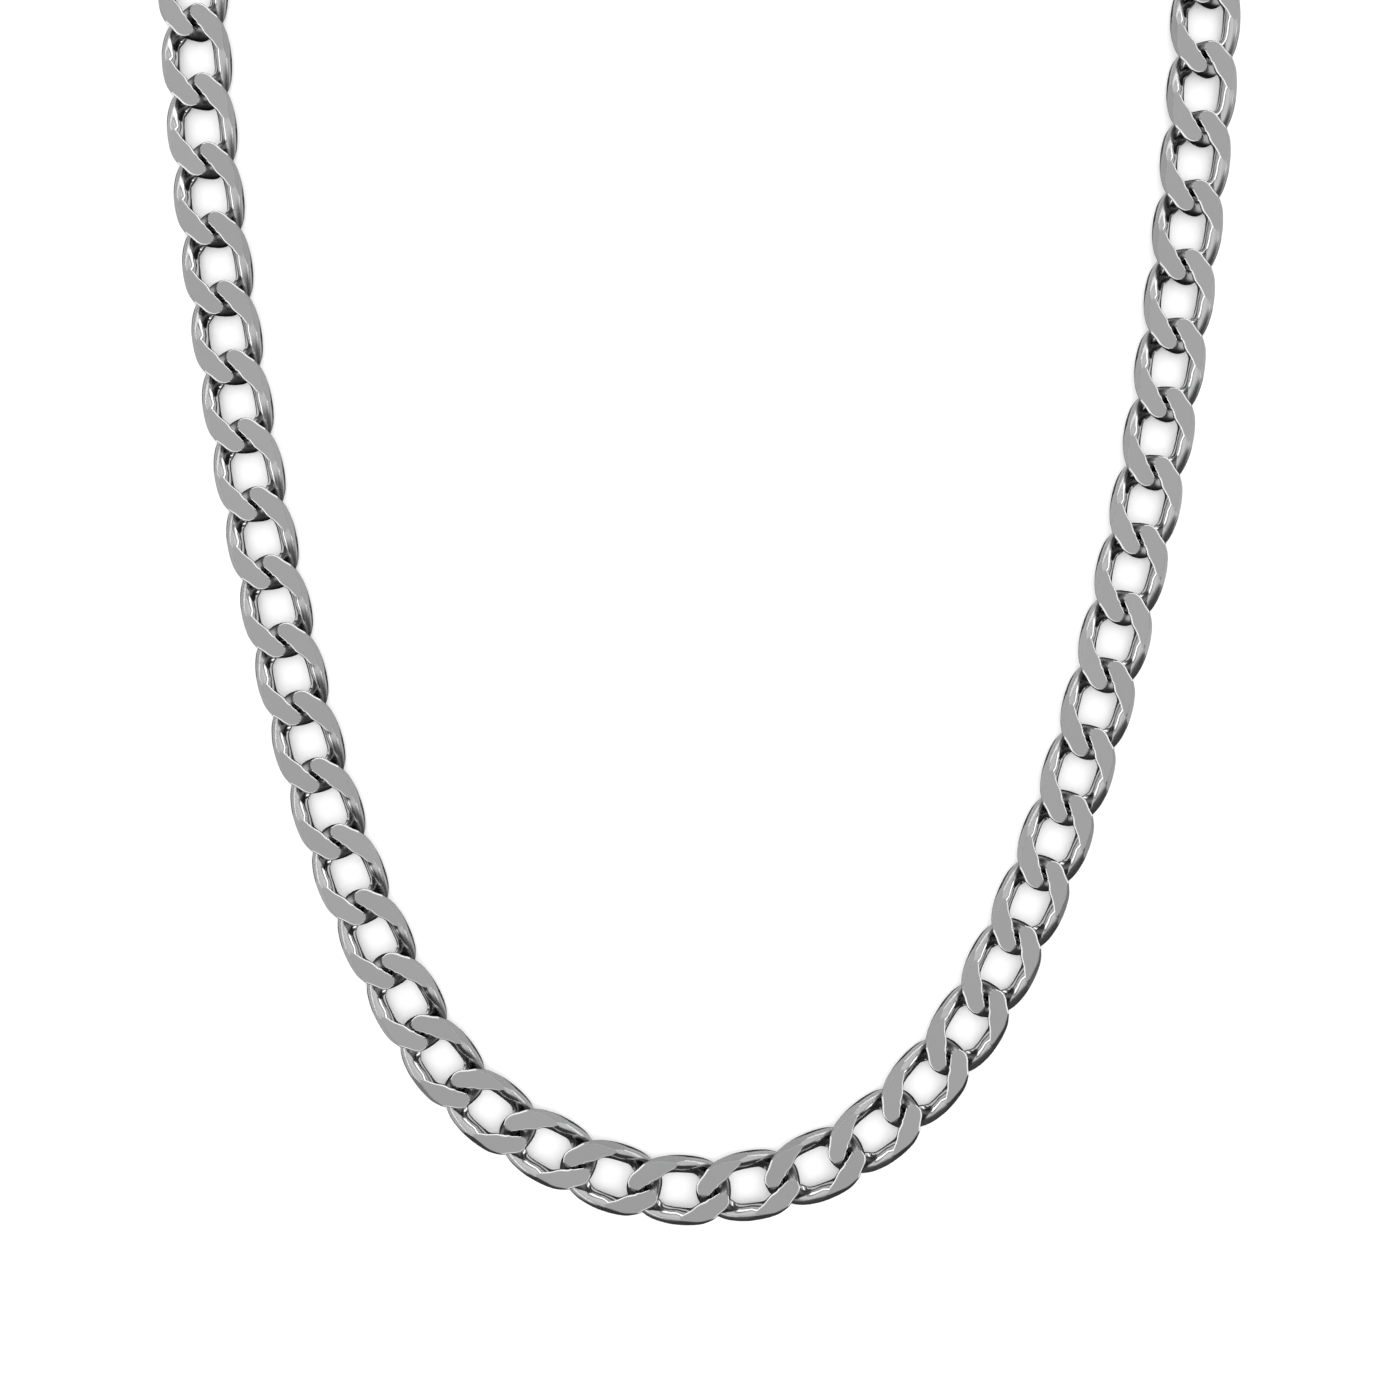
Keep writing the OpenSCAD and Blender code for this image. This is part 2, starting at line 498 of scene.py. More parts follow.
@dataclass
class WireOval:
    """Pressed wire bent to an oval, twisted about its length and ground, in millimetres.

    A pair of values says where along the link a change starts and where it is complete.

    Attributes:
        pitch: distance from link to link.
        chain_w: width of the chain.
        thick: distance between the two flats.
        wire_w: width of the wire at the link's sides.
        wire_end_w: width of the wire at its ends.
        wire_h: height of the wire at the sides, before grinding.
        wire_end_h: height of the wire at the ends.
        play: room between two links.
        twist: turn of the link's ends about its length.
        twist_ease: power that the twist grows by along the link.
        oval_power: squareness of the oval, 2 for an ellipse.
        wire_power: squareness of the wire, 2 for round wire.
        crest_shift: how far outwards the crest of the sides lies.
        spread: how far pressing has spread the wire inwards between middle and end.
        lean_power: squareness of the wire's inner side near the link's middle.
        lean_to: where that side turns round, as shares of the half length.
        spread_from: where the spread grows, as shares of the half length.
        spread_to: where it goes, as shares of the half length.
        pinch_power: power that the ends' size sets in by.
        spoke_share: how much the sections face along the link, not only across it.
        facet_slope: how far the facets along the sides face upwards, 0 for upright ones.
        facet_w: width of a facet seen from above.
        head_inset: how far the facets turn in at the link's ends.
        head_from: where they turn in, from the link's middle.
        rim: radius of the ground edges.
        half_length: half length of the oval, where it isn't a link's.
        half_only: whether only the half towards +X is built.
        half_past: how far that half runs past the middle.
        rings: sections along the whole oval.
        steps: points round a section.
        keep: which of these go into the surface, 5 for every fifth.
        rim_steps: steps round a ground edge.
        rim_least: least angle of an edge that is rounded, in radians.
        bright_from: least angle of an edge that gets the rim steel, whose brighter colour is a
            painted highlight, in radians.
        inner_sunk: where the painted shade deep in a joint grows on the inner side, from the link's
            middle.
        outer_sunk: the same on the outer side.
        steep_from: how steep the outer side must be for that painted shade, from 0 for level.
    """

    # Even points that the oval's length is measured on, depth that counts as no cut, and the
    # least upright part of a flat's direction.
    FINE_STEPS: ClassVar[int] = 8000
    CLEAR: ClassVar[float] = 1e-9
    LEVEL: ClassVar[float] = 0.9999

    pitch: float
    chain_w: float
    thick: float
    wire_w: float = 2.0
    wire_end_w: float = 1.92
    wire_h: float = 2.1
    wire_end_h: float = 1.7
    play: float = 0.2
    twist: float = math.radians(51.0)
    twist_ease: float = 1.4
    oval_power: float = 2.3
    wire_power: float = 2.05
    crest_shift: float = 0.12
    spread: float = 0.62
    lean_power: float = 1.65
    lean_to: tuple[float, float] = (0.3, 0.6)
    spread_from: tuple[float, float] = (0.3, 0.65)
    spread_to: tuple[float, float] = (0.92, 1.01)
    pinch_power: float = 6.0
    spoke_share: float = 0.4
    facet_slope: float = math.radians(38.0)
    facet_w: float = 0.67
    head_inset: float = 0.65
    head_from: tuple[float, float] = (2.2, 4.4)
    rim: float = 0.18
    half_length: float | None = None
    half_only: bool = False
    half_past: float = 0.2
    rings: int = 136
    steps: int = 120
    keep: int = 5
    rim_steps: int = 4
    rim_least: float = 0.12
    bright_from: float = 0.5
    # Where the painted shade deep in the joints sets in, and on how steep an outer side.
    inner_sunk: tuple[float, float] = (3.5, 4.3)
    outer_sunk: tuple[float, float] = (4.0, 5.0)
    steep_from: tuple[float, float] = (0.4, 0.75)

    def lengths(self) -> tuple[float, float]:
        """Half length and half width of the oval that the wire's middle follows."""
        length = self.half_length or (self.pitch + self.wire_end_w + self.play) / 2
        return length, self.chain_w / 2 - self.wire_w / 2

    def _middle(self, turn: np.ndarray) -> np.ndarray:
        """Points of the wire's middle.

        Args:
            turn: angles round the oval.

        Returns:
            One point for each angle.
        """
        length, width = self.lengths()
        x = length * signed_power(np.cos(turn), 2 / self.oval_power)
        y = width * signed_power(np.sin(turn), 2 / self.oval_power)
        return np.stack([x, y, -y * np.tan(self._lean(x))], -1)

    def _lean(self, x: np.ndarray) -> np.ndarray:
        """Turn of the link about its length at each distance from its middle, in radians."""
        return self.twist * signed_power(x / self.lengths()[0], self.twist_ease)

    def _walk(self) -> tuple[np.ndarray, np.ndarray, np.ndarray]:
        """Even steps along the wire's middle.

        Returns:
            Points, and the directions outwards and upwards at each.
        """
        fine = np.linspace(0.0, 2 * math.pi, self.FINE_STEPS + 1)
        path = self._middle(fine)
        run = np.r_[0.0, np.cumsum(np.linalg.norm(np.diff(path, axis=0), axis=1))]
        even = np.interp(np.linspace(0.0, run[-1], self.rings, endpoint=False), run, fine)
        middle = self._middle(even)
        along = unit(np.roll(middle, -1, 0) - np.roll(middle, 1, 0))
        lean = self._lean(middle[:, 0])
        upright = np.stack([np.zeros_like(lean), np.sin(lean), np.cos(lean)], -1)
        up = unit(upright - (upright * along).sum(-1, keepdims=True) * along)
        spoke = middle * np.array([self.spoke_share, 1.0, 0.0])
        return middle, unit(spoke - (spoke * up).sum(-1, keepdims=True) * up), up

    def _sections(self, middle: np.ndarray) -> tuple[np.ndarray, np.ndarray]:
        """Sections of the unground wire.

        Args:
            middle: the wire's middle points.

        Returns:
            For each point the section's touch points, and the directions that they face.
        """
        reach = np.clip(np.abs(middle[:, :1]) / self.lengths()[0], 0.0, 1.0)
        pinch = reach ** self.pinch_power
        width = self.wire_w + (self.wire_end_w - self.wire_w) * pinch
        height = self.wire_h + (self.wire_end_h - self.wire_h) * pinch
        spread = self.spread * rise(reach, *self.spread_from) * (1.0 - rise(reach, *self.spread_to))
        leaner = self.lean_power + (self.wire_power - self.lean_power) * rise(reach, *self.lean_to)
        shift = self.crest_shift * (1.0 - reach ** 2)
        turn = np.linspace(0.0, 2 * math.pi, self.steps, endpoint=False)
        facing = np.stack([np.cos(turn), np.sin(turn)], -1)
        inward = facing[:, 0] < 0
        hold = np.minimum(0.0, facing[:, 1] * np.where(middle[:, 2:] >= 0, 1.0, -1.0))
        half = width / 2 + np.where(inward, shift + spread * (1.0 + hold) ** 2, -shift)
        power = np.where(inward, leaner, self.wire_power)
        # A superellipse's point that faces a given way follows from its dual power.
        across = half * np.abs(facing[:, 0])
        upward = height / 2 * np.abs(facing[:, 1])
        dual = power / (power - 1.0)
        size = (across ** dual + upward ** dual) ** (1.0 / power)
        x = np.sign(facing[:, 0]) * half * across ** (dual - 1.0) / size + shift
        y = np.sign(facing[:, 1]) * height / 2 * upward ** (dual - 1.0) / size
        return np.stack([x, y], -1), facing

    def _planes(self, side: float, reach: float) -> list[tuple[np.ndarray, float, Surface]]:
        """Ground planes on one side of the chain.

        Args:
            side: 1 for the left side, -1 for the right side.
            reach: distance from the link's middle along the chain.

        Returns:
            Direction, distance and surface of each plane.
        """
        lean, lift = math.cos(self.facet_slope), math.sin(self.facet_slope)
        inset = self.facet_w + self.head_inset * float(rise(reach, *self.head_from))
        off = (self.chain_w / 2 - inset) * lean + self.thick / 2 * lift
        return [(np.array([0.0, 0.0, 1.0]), self.thick / 2, Surface.FLAT),
                (np.array([0.0, 0.0, -1.0]), self.thick / 2, Surface.FLAT),
                (np.array([0.0, side * lean, lift]), off, Surface.FACET),
                (np.array([0.0, side * lean, -lift]), off, Surface.FACET)]

    @classmethod
    def _cut(cls, corners: list[Corner], across: np.ndarray, limit: float,
             normal: np.ndarray, surface: Surface) -> list[Corner]:
        """Cuts a section along a line.

        Args:
            corners: the section's corners in order.
            across: the cut's direction in the section.
            limit: its distance from the wire's middle.
            normal: the cut plane's direction in space.
            surface: what the cut leaves.

        Returns:
            The corners of what remains.
        """
        depths = [float(corner.place @ across) - limit for corner in corners]
        if max(depths) <= cls.CLEAR:
            return corners
        kept = []
        for i, corner in enumerate(corners):
            after = (i + 1) % len(corners)
            follower = corners[after]
            depth, depth_after = depths[i], depths[after]
            if depth <= 0:
                kept.append(corner)
            if (depth <= 0) != (depth_after <= 0):
                share = depth / (depth - depth_after)
                place = corner.place + share * (follower.place - corner.place)
                met = unit(corner.after + share * (follower.before - corner.after))
                key = f"{'top' if normal[2] > 0 else 'foot'}_{surface.name}"
                ground = corner.surface in (Surface.FLAT, Surface.FACET)
                if depth <= 0:
                    kept.append(Corner(place, met, normal, surface, key=f"{key}_in", ground=ground))
                else:
                    kept.append(Corner(place, normal, met, corner.surface, key=f"{key}_out",
                                       ground=ground))
        return kept

    def _rounded(self, corner: Corner, axes: np.ndarray) -> list[RingPoint]:
        """Rounds one corner of a section.

        Args:
            corner: the corner, set back by the rim's radius.
            axes: the section's outward and upward directions.

        Returns:
            The points round the corner.
        """
        start, stop = unit(axes @ corner.before), unit(axes @ corner.after)
        angle = math.acos(max(-1.0, min(1.0, float(start @ stop))))
        if angle < self.rim_least:
            return [RingPoint(corner.place + self.rim * unit(start + stop),
                              unit(corner.before + corner.after), corner.surface, corner.key)]
        at_flat = max(abs(corner.before[2]), abs(corner.after[2])) > self.LEVEL
        blend = Surface.SIDE if corner.place[0] > 0 else Surface.WIRE
        # Sharp edges at the flats get the rim steel, whose brighter colour is a painted highlight.
        between = Surface.RIM if at_flat and angle > self.bright_from else blend
        if corner.ground:
            between = Surface.FLAT
        points = []
        for step in range(self.rim_steps + 1):
            share = step / self.rim_steps
            way = unit(start * math.sin((1 - share) * angle) + stop * math.sin(share * angle))
            surface = corner.surface if step == self.rim_steps else between
            points.append(RingPoint(corner.place + self.rim * way,
                                    unit(corner.before * (1 - share) + corner.after * share),
                                    surface, f"{corner.key}_{step}"))
        return points

    def _ring(self, middle: np.ndarray, axes: np.ndarray, section: np.ndarray,
              facing: np.ndarray, normals: np.ndarray) -> Ring:
        """One ground ring of the wire.

        Args:
            middle: the ring's middle.
            axes: its outward and upward directions.
            section: the unground section.
            facing: direction of each of the section's points in its plane.
            normals: direction of each of them in space.

        Returns:
            The ring.
        """
        corners = [Corner(place - self.rim * way, normal, normal,
                          Surface.SIDE if way[0] > 0 else Surface.WIRE, step)
                   for step, (place, way, normal) in enumerate(zip(section, facing, normals))]
        side = 1.0 if middle[1] >= 0 else -1.0
        for normal, distance, surface in self._planes(side, abs(middle[0])):
            across = axes @ normal
            size = float(np.linalg.norm(across))
            limit = (distance - float(normal @ middle)) / size - self.rim
            corners = self._cut(corners, across / size, limit, normal, surface)
        points = []
        for corner in corners:
            if corner.step < 0:
                points += self._rounded(corner, axes)
            elif corner.step % self.keep == 0:
                points.append(RingPoint(corner.place + self.rim * facing[corner.step],
                                        corner.before, corner.surface, ""))
        places = np.array([point.place for point in points])
        first = int(np.argmax(np.abs(np.arctan2(places[:, 1], places[:, 0]))))
        points = points[first:] + points[:first]
        places = np.array([point.place for point in points])
        return Ring(middle + places @ axes, np.array([point.normal for point in points]),
                    [point.surface for point in points], [point.key for point in points])

    def skin(self) -> Skin:
        """Builds the oval's closed surface.

        Returns:
            The skin round the oval's own middle.
        """
        middle, out, up = self._walk()
        sections, facing = self._sections(middle)
        out_rows, up_rows = out[:, None], up[:, None]
        places = middle[:, None] + out_rows * sections[..., :1] + up_rows * sections[..., 1:]
        outward = out_rows * facing[None, :, :1] + up_rows * facing[None, :, 1:]
        normals = unit(np.cross(np.roll(places, -1, 0) - np.roll(places, 1, 0),
                                np.roll(places, -1, 1) - np.roll(places, 1, 1)))
        normals = normals * np.sign((normals * outward).sum(-1, keepdims=True))
        rings = [self._ring(middle[i], np.stack([out[i], up[i]]), sections[i], facing, normals[i])
                 for i in range(self.rings)]
        if self.half_only:
            order = np.roll(np.arange(self.rings), self.rings // 2)
            rings = [rings[i] for i in order if middle[i, 0] >= -self.half_past]
        whole = stitched(rings, closed=not self.half_only)
        whole.sunk = self._sunk(whole)
        return whole

    def _sunk(self, whole: Skin) -> np.ndarray:
        """How much painted shade each point gets for lying deep in the joint with the next link.

        Args:
            whole: the oval's skin.

        Returns:
            A share from 0 to 1 for each point.
        """
        reach = np.abs(whole.points[:, 0])
        spoke = whole.points[:, :2] * np.array([self.spoke_share, 1.0])
        outer = (whole.normals[:, :2] * spoke).sum(-1) > 0
        steep = rise(1.0 - np.abs(whole.normals[:, 2]), *self.steep_from)
        return np.where(outer, rise(reach, *self.outer_sunk) * steep, rise(reach, *self.inner_sunk))


def stitched(rings: list[Ring], closed: bool) -> Skin:
    """Joins rings of differing numbers of points with triangles.

    Points that carry the same key on both rings are joined to each other.

    Args:
        rings: the rings in order.
        closed: whether the last ring joins the first.

    Returns:
        The skin between the rings.
    """
    points = np.vstack([ring.points for ring in rings])
    normals = np.vstack([ring.normals for ring in rings])
    starts = np.r_[0, np.cumsum([len(ring.points) for ring in rings])]
    triangles, surfaces = [], []
    for i in range(len(rings) if closed else len(rings) - 1):
        j = (i + 1) % len(rings)
        here, there = len(rings[i].points), len(rings[j].points)
        u = v = 0
        for goal_u, goal_v in [*shared_points(rings[i].keys, rings[j].keys), (here, there)]:
            while u < goal_u or v < goal_v:
                a, b = starts[i] + u % here, starts[j] + v % there
                a_next, b_next = starts[i] + (u + 1) % here, starts[j] + (v + 1) % there
                gap_a = np.sum((points[a_next] - points[b]) ** 2) if u < goal_u else math.inf
                gap_b = np.sum((points[b_next] - points[a]) ** 2) if v < goal_v else math.inf
                if gap_a <= gap_b:
                    triangles.append((a, b, a_next))
                    surfaces.append(rings[i].surfaces[u % here])
                    u += 1
                else:
                    triangles.append((a, b, b_next))
                    surfaces.append(rings[j].surfaces[v % there])
                    v += 1
    return Skin(points, normals, np.array(triangles), np.array(surfaces, dtype=np.int32),
                np.zeros(len(points)))


def shared_points(here: list[str], there: list[str]) -> list[tuple[int, int]]:
    """Pairs the points that two rings share.

    Args:
        here: keys of the one ring's points.
        there: keys of the next ring's points.

    Returns:
        Numbers of the paired points, rising on both rings.
    """
    pairs = []
    for u, key in enumerate(here):
        if key and key in there:
            v = there.index(key)
            if not pairs or v > pairs[-1][1]:
                pairs.append((u, v))
    return pairs


# The clasp.


@dataclass
class ClaspBody:
    """Closed body of the clasp, flat below and crowned above, in millimetres.

    Attributes:
        length: length along the chain.
        width: width across it.
        thick: height of the crown's middle.
        corner: radius of the corners seen from above.
        corner_pull: how quickly the points round the outline leave a side's middle.
        crown: radius of the crowned top.
        edge: radius of the upper and lower edges.
        around: points round the outline.
        across: rings from the edge of the top to its middle.
        edge_steps: steps round an edge.
    """

    length: float = 10.8
    width: float = 8.6
    thick: float = 3.2
    corner: float = 1.6
    corner_pull: float = 3.0
    crown: float = 7.0
    edge: float = 0.35
    around: int = 128
    across: int = 14
    edge_steps: int = 6

    def _outline(self, inset: float) -> np.ndarray:
        """Plan outline of the body, drawn in by a distance.

        Args:
            inset: distance from the full outline.

        Returns:
            Points round the outline.
        """
        turn = np.linspace(0.0, 2 * math.pi, self.around, endpoint=False) + math.pi / self.around
        way = np.stack([np.cos(turn), np.sin(turn)], -1)
        half = np.array([self.length, self.width]) / 2 - self.corner
        pulled = np.clip(way * self.corner_pull, -1.0, 1.0)
        return pulled * half + way * (self.corner - inset)

    def _crowned(self, outline: np.ndarray, drop: float) -> np.ndarray:
        """Lays an outline on the crowned top, or a distance below it."""
        fall = np.sqrt(self.crown ** 2 - outline[:, 1] ** 2) - self.crown
        return np.column_stack([outline, self.thick - drop + fall])

    def skin(self) -> Skin:
        """Builds the body.

        Returns:
            The skin round the middle of the body's flat underside.
        """
        quarter = np.linspace(0.0, math.pi / 2, self.edge_steps + 1)
        rings, kinds = [], []
        # The body's edges get the rim steel, whose brighter colour is a painted highlight.
        for turn in quarter:
            outline = self._outline(self.edge * (1 - math.sin(turn)))
            height = np.full(self.around, self.edge * (1 - math.cos(turn)))
            rings.append(np.column_stack([outline, height]))
            kinds.append(Surface.RIM)
        kinds[-1] = Surface.WIRE
        for turn in quarter:
            outline = self._outline(self.edge * (1 - math.cos(turn)))
            rings.append(self._crowned(outline, self.edge * (1 - math.sin(turn))))
            kinds.append(Surface.RIM)
        kinds[-1] = Surface.FLAT
        inner = self._outline(self.edge)
        for step in range(1, self.across):
            rings.append(self._crowned(inner * (1.0 - step / self.across), 0.0))
            kinds.append(Surface.FLAT)
        points = np.vstack(rings + [np.array([[0.0, 0.0, self.thick], [0.0, 0.0, 0.0]])])
        triangles, surfaces = [], []
        count = self.around
        for ring in range(len(rings) - 1):
            for i in range(count):
                a, b = ring * count + i, ring * count + (i + 1) % count
                triangles += [(a, b, a + count), (b, b + count, a + count)]
                surfaces += [kinds[ring]] * 2
        last, top, bottom = (len(rings) - 1) * count, len(points) - 2, len(points) - 1
        for i in range(count):
            j = (i + 1) % count
            triangles += [(last + i, last + j, top), (j, i, bottom)]
            surfaces += [Surface.FLAT] * 2
        triangles = np.array(triangles)
        return Skin(points, area_normals(points, triangles), triangles,
                    np.array(surfaces, dtype=np.int32), np.zeros(len(points)))


def area_normals(points: np.ndarray, triangles: np.ndarray) -> np.ndarray:
    """Averages the triangles' directions at each point.

    Args:
        points: the points.
        triangles: three points each.

    Returns:
        One direction for each point.
    """
    a, b, c = (points[triangles[:, k]] for k in range(3))
    faces = np.cross(b - a, c - a)
    total = np.zeros_like(points)
    for k in range(3):
        np.add.at(total, triangles[:, k], faces)
    return unit(total)


# Pieces.


@dataclass
class Piece:
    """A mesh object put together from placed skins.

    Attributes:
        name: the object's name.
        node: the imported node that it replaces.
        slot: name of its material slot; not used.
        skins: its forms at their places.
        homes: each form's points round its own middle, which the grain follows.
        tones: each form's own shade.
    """

    name: str
    node: str
    slot: str
    skins: list[Skin] = field(default_factory=list)
    homes: list[np.ndarray] = field(default_factory=list)
    tones: list[float] = field(default_factory=list)

    def take(self, skin: Skin, place: Place, lift: float, tone: float) -> None:
        """Adds a skin at its place.

        Args:
            skin: the form in millimetres round its own middle.
            place: where it stands.
            lift: height of its middle above the ground, in millimetres.
            tone: its own shade, from 0 to 1.
        """
        shift = (place.middle[0] / MM, place.middle[1] / MM, lift)
        self.skins.append(skin.turned(place.heading, shift))
        self.homes.append(skin.points)
        self.tones.append(tone)

    def build(self, materials: dict[Surface, bpy.types.Material]) -> None:
        """Makes the object, hangs it under the body's empty and hides the imported node that it
        replaces.

        Args:
            materials: the material of each surface.
        """
        whole = self.skins[0]
        for skin in self.skins[1:]:
            whole = whole.joined(skin)
        mesh = bpy.data.meshes.new(self.name)
        count = len(whole.triangles)
        mesh.vertices.add(len(whole.points))
        mesh.vertices.foreach_set("co", (whole.points * MM).astype(np.float32).ravel())
        mesh.loops.add(count * 3)
        mesh.loops.foreach_set("vertex_index", whole.triangles.astype(np.int32).ravel())
        mesh.polygons.add(count)
        mesh.polygons.foreach_set("loop_start", np.arange(0, count * 3, 3, dtype=np.int32))
        mesh.polygons.foreach_set("material_index", whole.surfaces)
        mesh.polygons.foreach_set("use_smooth", np.ones(count, dtype=bool))
        mesh.update(calc_edges=True)
        place = mesh.attributes.new("place", "FLOAT_VECTOR", "POINT")
        place.data.foreach_set("vector", np.vstack(self.homes).astype(np.float32).ravel())
        tone = mesh.attributes.new("tone", "FLOAT", "POINT")
        shades = [np.full(len(home), shade) for home, shade in zip(self.homes, self.tones)]
        tone.data.foreach_set("value", np.concatenate(shades).astype(np.float32))
        # Painted shade deep in the joints, which the steel materials darken by.
        sunk = mesh.attributes.new("sunk", "FLOAT", "POINT")
        sunk.data.foreach_set("value", whole.sunk.astype(np.float32))
        mesh.validate()
        mesh.normals_split_custom_set_from_vertices([tuple(n) for n in whole.normals])
        for surface in Surface:
            mesh.materials.append(materials[surface])
        piece = bpy.data.objects.new(self.name, mesh)
        bpy.context.scene.collection.objects.link(piece)
        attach(piece, BODY)
        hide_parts(self.node)
        log.info("%s: %d triangles", self.name, count)


@dataclass
class Chain:
    """All links of the necklace, in joined runs.

    Attributes:
        loop: places of the links.
        link: the form of one link.
        run_length: most links in one piece.
        tone_seed: seed of the links' shades.
    """

    loop: Loop
    link: WireOval
    run_length: int = 14
    tone_seed: int = 11

    def build(self, materials: dict[Surface, bpy.types.Material]) -> None:
        """Makes the joined runs of links.

        Args:
            materials: the material of each surface.
        """
        link = self.link.skin()
        lift = self.link.thick / 2
        tones = np.random.default_rng(self.tone_seed).random(len(self.loop.links))
        for node in dict.fromkeys(place.node for place in self.loop.links):
            picked = [i for i, place in enumerate(self.loop.links) if place.node == node]
            for start in range(0, len(picked), self.run_length):
                piece = Piece(f"{node}_links_{start // self.run_length + 1}", node, "chain_steel")
                for i in picked[start:start + self.run_length]:
                    piece.take(link, self.loop.links[i], lift, float(tones[i]))
                piece.build(materials)


@dataclass
class Clasp:
    """The plain closed clasp with an eye at each end, which the end links pass through.

    Attributes:
        loop: place of the clasp.
        link: the form of the links that it holds.
        eye_w: width of an eye's wire.
        eye_h: its height before grinding.
        eye_step: how much lower than a link's flats the eyes are ground.
        eye_twist: turn of an eye's end.
        eye_rim: radius of its ground edges.
        eye_rings: sections along its whole oval.
        tone: the clasp's own shade.
    """

    loop: Loop
    link: WireOval
    eye_w: float = 1.7
    eye_h: float = 1.7
    eye_step: float = 0.15
    eye_twist: float = math.radians(46.0)
    eye_rim: float = 0.14
    eye_rings: int = 100
    tone: float = 0.5

    def build(self, materials: dict[Surface, bpy.types.Material]) -> None:
        """Makes the body and both eyes as one piece.

        Args:
            materials: the material of each surface.
        """
        link = self.link
        reach = link.pitch + (self.eye_w + link.wire_end_w) / 2 + link.play - link.lengths()[0]
        eye = WireOval(link.pitch, link.chain_w - link.wire_w + self.eye_w,
                       link.thick - 2 * self.eye_step, wire_w=self.eye_w, wire_end_w=self.eye_w,
                       wire_h=self.eye_h, wire_end_h=self.eye_h, spread=0.0,
                       twist=self.eye_twist, twist_ease=1.0, crest_shift=0.0, rim=self.eye_rim,
                       rings=self.eye_rings, half_length=reach, half_only=True).skin()
        whole = ClaspBody().skin()
        for half_turn, side in ((0.0, 1.0), (math.pi, -1.0)):
            place = (side * link.pitch / 2, 0.0, link.thick / 2)
            whole = whole.joined(eye.turned(half_turn, place))
        piece = Piece("clasp_closed", self.loop.clasp.node, "clasp_steel")
        piece.take(whole, self.loop.clasp, 0.0, self.tone)
        piece.build(materials)


# The studio.


@dataclass(frozen=True)
class Camera:
    """Camera straight above the chain, as wide as the photograph, in metres.

    Attributes:
        middle: what it looks at.
        height: its height above the chain.
        view_w: width that it sees there.
        sensor: width of its sensor, in millimetres.
        near: nearest distance that it sees.
    """

    middle: tuple[float, float] = (0.0, -0.043)
    height: float = 0.25
    view_w: float = 0.16135
    sensor: float = 36.0
    near: float = 0.01

    def build(self, level: float) -> None:
        """Makes the camera.

        Args:
            level: height of the chain's middle plane.
        """
        data = bpy.data.cameras.new("camera")
        data.sensor_width = self.sensor
        data.lens = self.sensor * self.height / self.view_w
        data.clip_start = self.near
        camera = bpy.data.objects.new("camera", data)
        camera.location = (*self.middle, self.height + level)
        bpy.context.scene.collection.objects.link(camera)
        bpy.context.scene.camera = camera


@dataclass(frozen=True)
class Ground:
    """Plain white ground, a hair below the chain, in metres."""

    half: float = 3.0
    drop: float = 0.00004
    colour: tuple[float, float, float] = (0.93, 0.93, 0.93)

    def build(self) -> None:
        """Makes the ground and its material."""
        mesh = bmesh.new()
        bmesh.ops.create_grid(mesh, x_segments=2, y_segments=2, size=self.half)
        data = bpy.data.meshes.new("ground")
        mesh.to_mesh(data)
        mesh.free()
        ground = bpy.data.objects.new("ground", data)
        ground.location.z = -self.drop
        ground.visible_glossy = False
        bpy.context.scene.collection.objects.link(ground)
        material = bpy.data.materials.new("ground_white")
        material.use_nodes = True
        graph = Graph(material.node_tree)
        shader = graph.add("ShaderNodeBsdfDiffuse", {}, {"Color": (*self.colour, 1.0)})
        graph.add("ShaderNodeOutputMaterial", {}, {"Surface": shader.outputs[0]})
        data.materials.append(material)


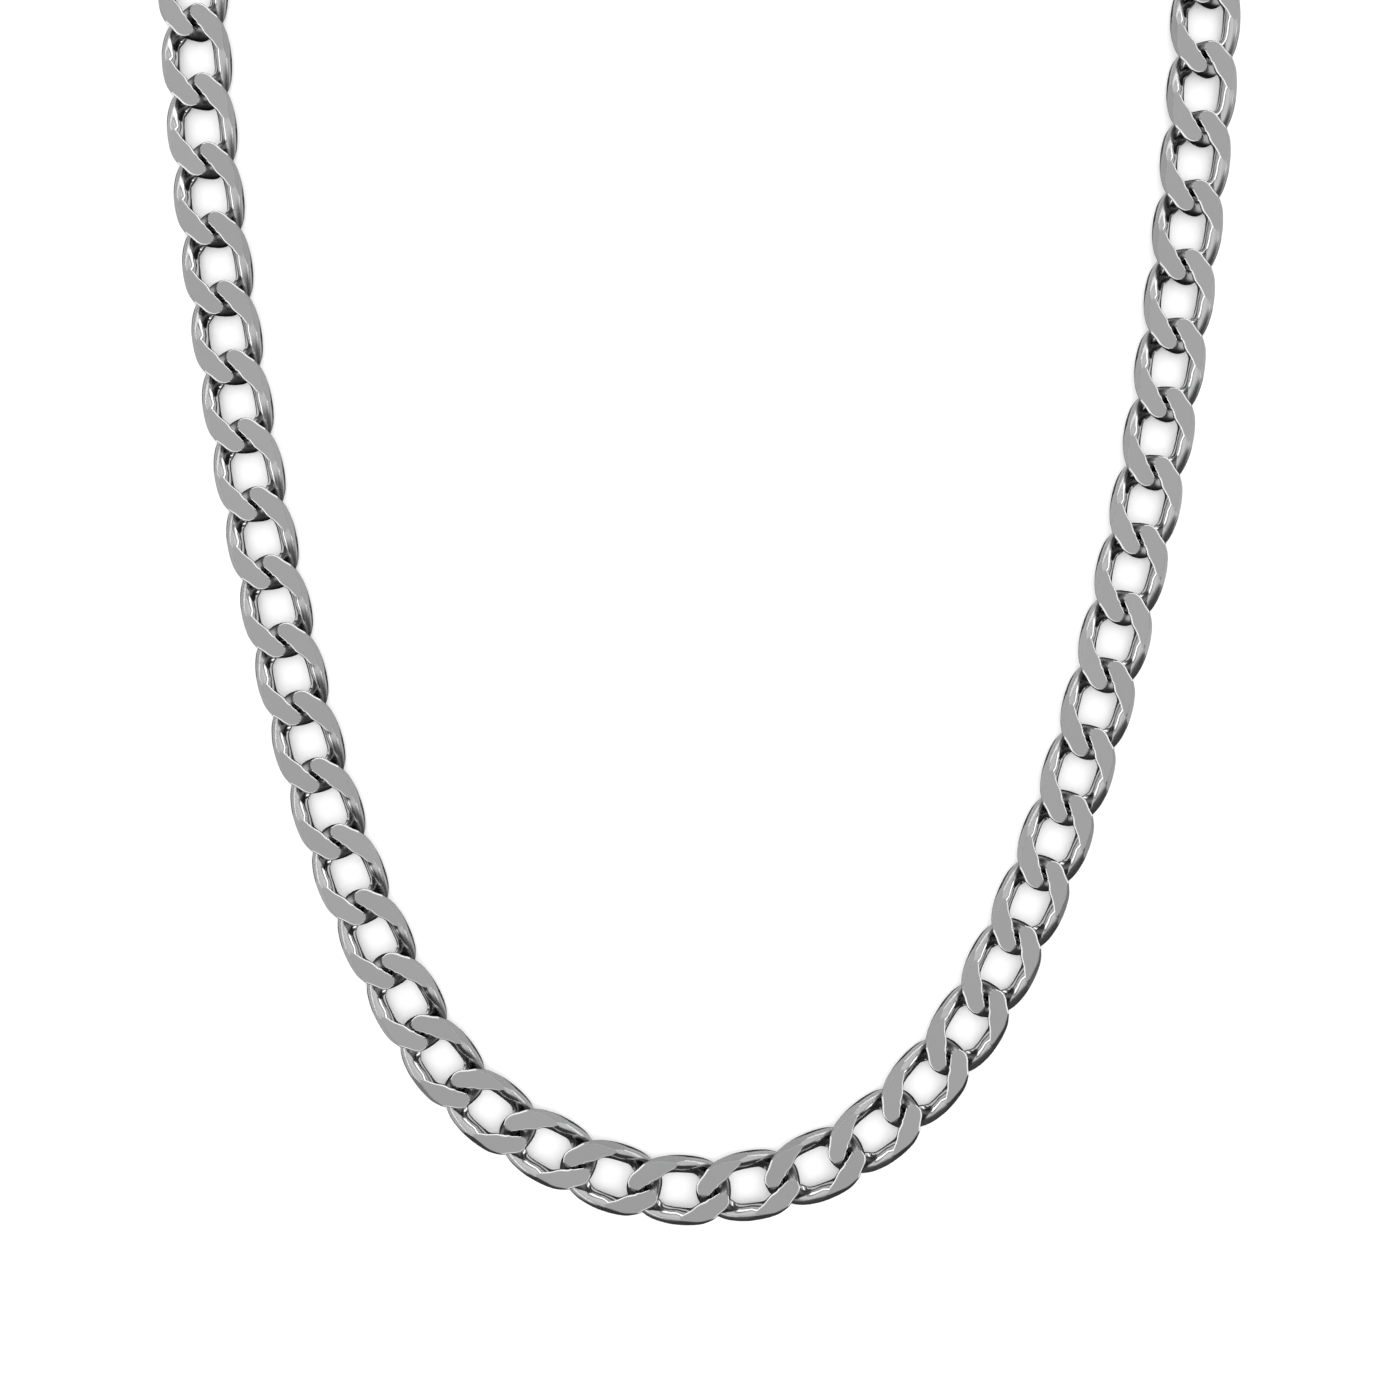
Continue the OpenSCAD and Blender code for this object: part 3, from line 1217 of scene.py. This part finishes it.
@dataclass(frozen=True)
class Studio:
    """Soft studio light that is even on the ground, in a room of level rings of light.

    Only mirroring steel sees the rings: a wide lamp overhead, a bright strip between two dark
    ones, pale walls and a dark floor. The side towards the chain's front is dark.

    Attributes:
        ambient: brightness for everything that isn't mirrored.
        bands: angle from straight up, in degrees, and brightness of each stop.
        dark: brightness of the dark side.
        dark_from: angles between which the dark side sets in.
        light_side: direction of the light side, along X and Y.
        side_edge: where the dark side goes over to the light one, along that direction.
    """

    RAMP_TOP: ClassVar[float] = 4.0

    ambient: float = 1.7
    bands: tuple[tuple[float, float], ...] = (
        (0.0, 0.95), (50.0, 0.95), (52.5, 0.1), (56.0, 0.1), (58.5, 2.6), (67.0, 2.6),
        (69.5, 0.1), (73.0, 0.1), (76.0, 0.75), (87.0, 0.75), (89.0, 0.15), (92.0, 0.15),
        (95.0, 1.0), (115.0, 0.9), (124.0, 0.05), (180.0, 0.04))
    dark: float = 0.04
    dark_from: tuple[float, float] = (24.0, 46.0)
    light_side: tuple[float, float] = (-0.15, 1.0)
    side_edge: tuple[float, float] = (-0.65, -0.32)

    def build(self) -> None:
        """Makes the world."""
        world = bpy.data.worlds.new("studio")
        bpy.context.scene.world = world
        world.use_nodes = True
        graph = Graph(world.node_tree)
        way = graph.add("ShaderNodeTexCoord").outputs["Generated"]
        parts = graph.add("ShaderNodeSeparateXYZ", {}, {0: way}).outputs
        x, y, z = (Number(graph, part) for part in parts)
        off = graph.math("ARCCOSINE", z) * (1.0 / math.pi)
        stops = [(angle / HALF_TURN_DEG, bright / self.RAMP_TOP) for angle, bright in self.bands]
        ramp = graph.add("ShaderNodeValToRGB", {"stops": stops}, {"Fac": off})
        bands = Number(graph, ramp.outputs["Color"]) * self.RAMP_TOP
        side = graph.smooth(x * self.light_side[0] + y * self.light_side[1], *self.side_edge)
        low = graph.smooth(off, *(angle / HALF_TURN_DEG for angle in self.dark_from))
        seen = bands + (1.0 - side) * low * (self.dark - bands)
        glossy = Number(graph, graph.add("ShaderNodeLightPath").outputs["Is Glossy Ray"])
        strength = self.ambient + glossy * (seen - self.ambient)
        background = graph.add("ShaderNodeBackground", {}, {
            "Color": (1.0, 1.0, 1.0, 1.0), "Strength": strength})
        graph.add("ShaderNodeOutputWorld", {}, {"Surface": background.outputs[0]})
        bpy.context.scene.view_settings.view_transform = "Standard"


def main() -> None:
    """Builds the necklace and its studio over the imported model."""
    logging.basicConfig(level=logging.INFO, format="%(name)s: %(message)s")
    loop = Loop(frame["nodes"], ["chain_front", "chain_back"], "clasp")
    low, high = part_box("chain_front")
    thick = (high.z - low.z) / MM
    log.info("%d links, pitch %.4f m, clasp heading %.3f", len(loop.links), loop.pitch,
             math.degrees(loop.clasp.heading))
    Camera().build(thick / 2 * MM)
    materials = {surface: finish.material() for surface, finish in FINISHES.items()}
    link = WireOval(loop.pitch / MM, CHAIN_W, thick)
    Chain(loop, link).build(materials)
    Clasp(loop, link).build(materials)
    Ground().build()
    Studio().build()


if __name__ == "__main__":
    main()
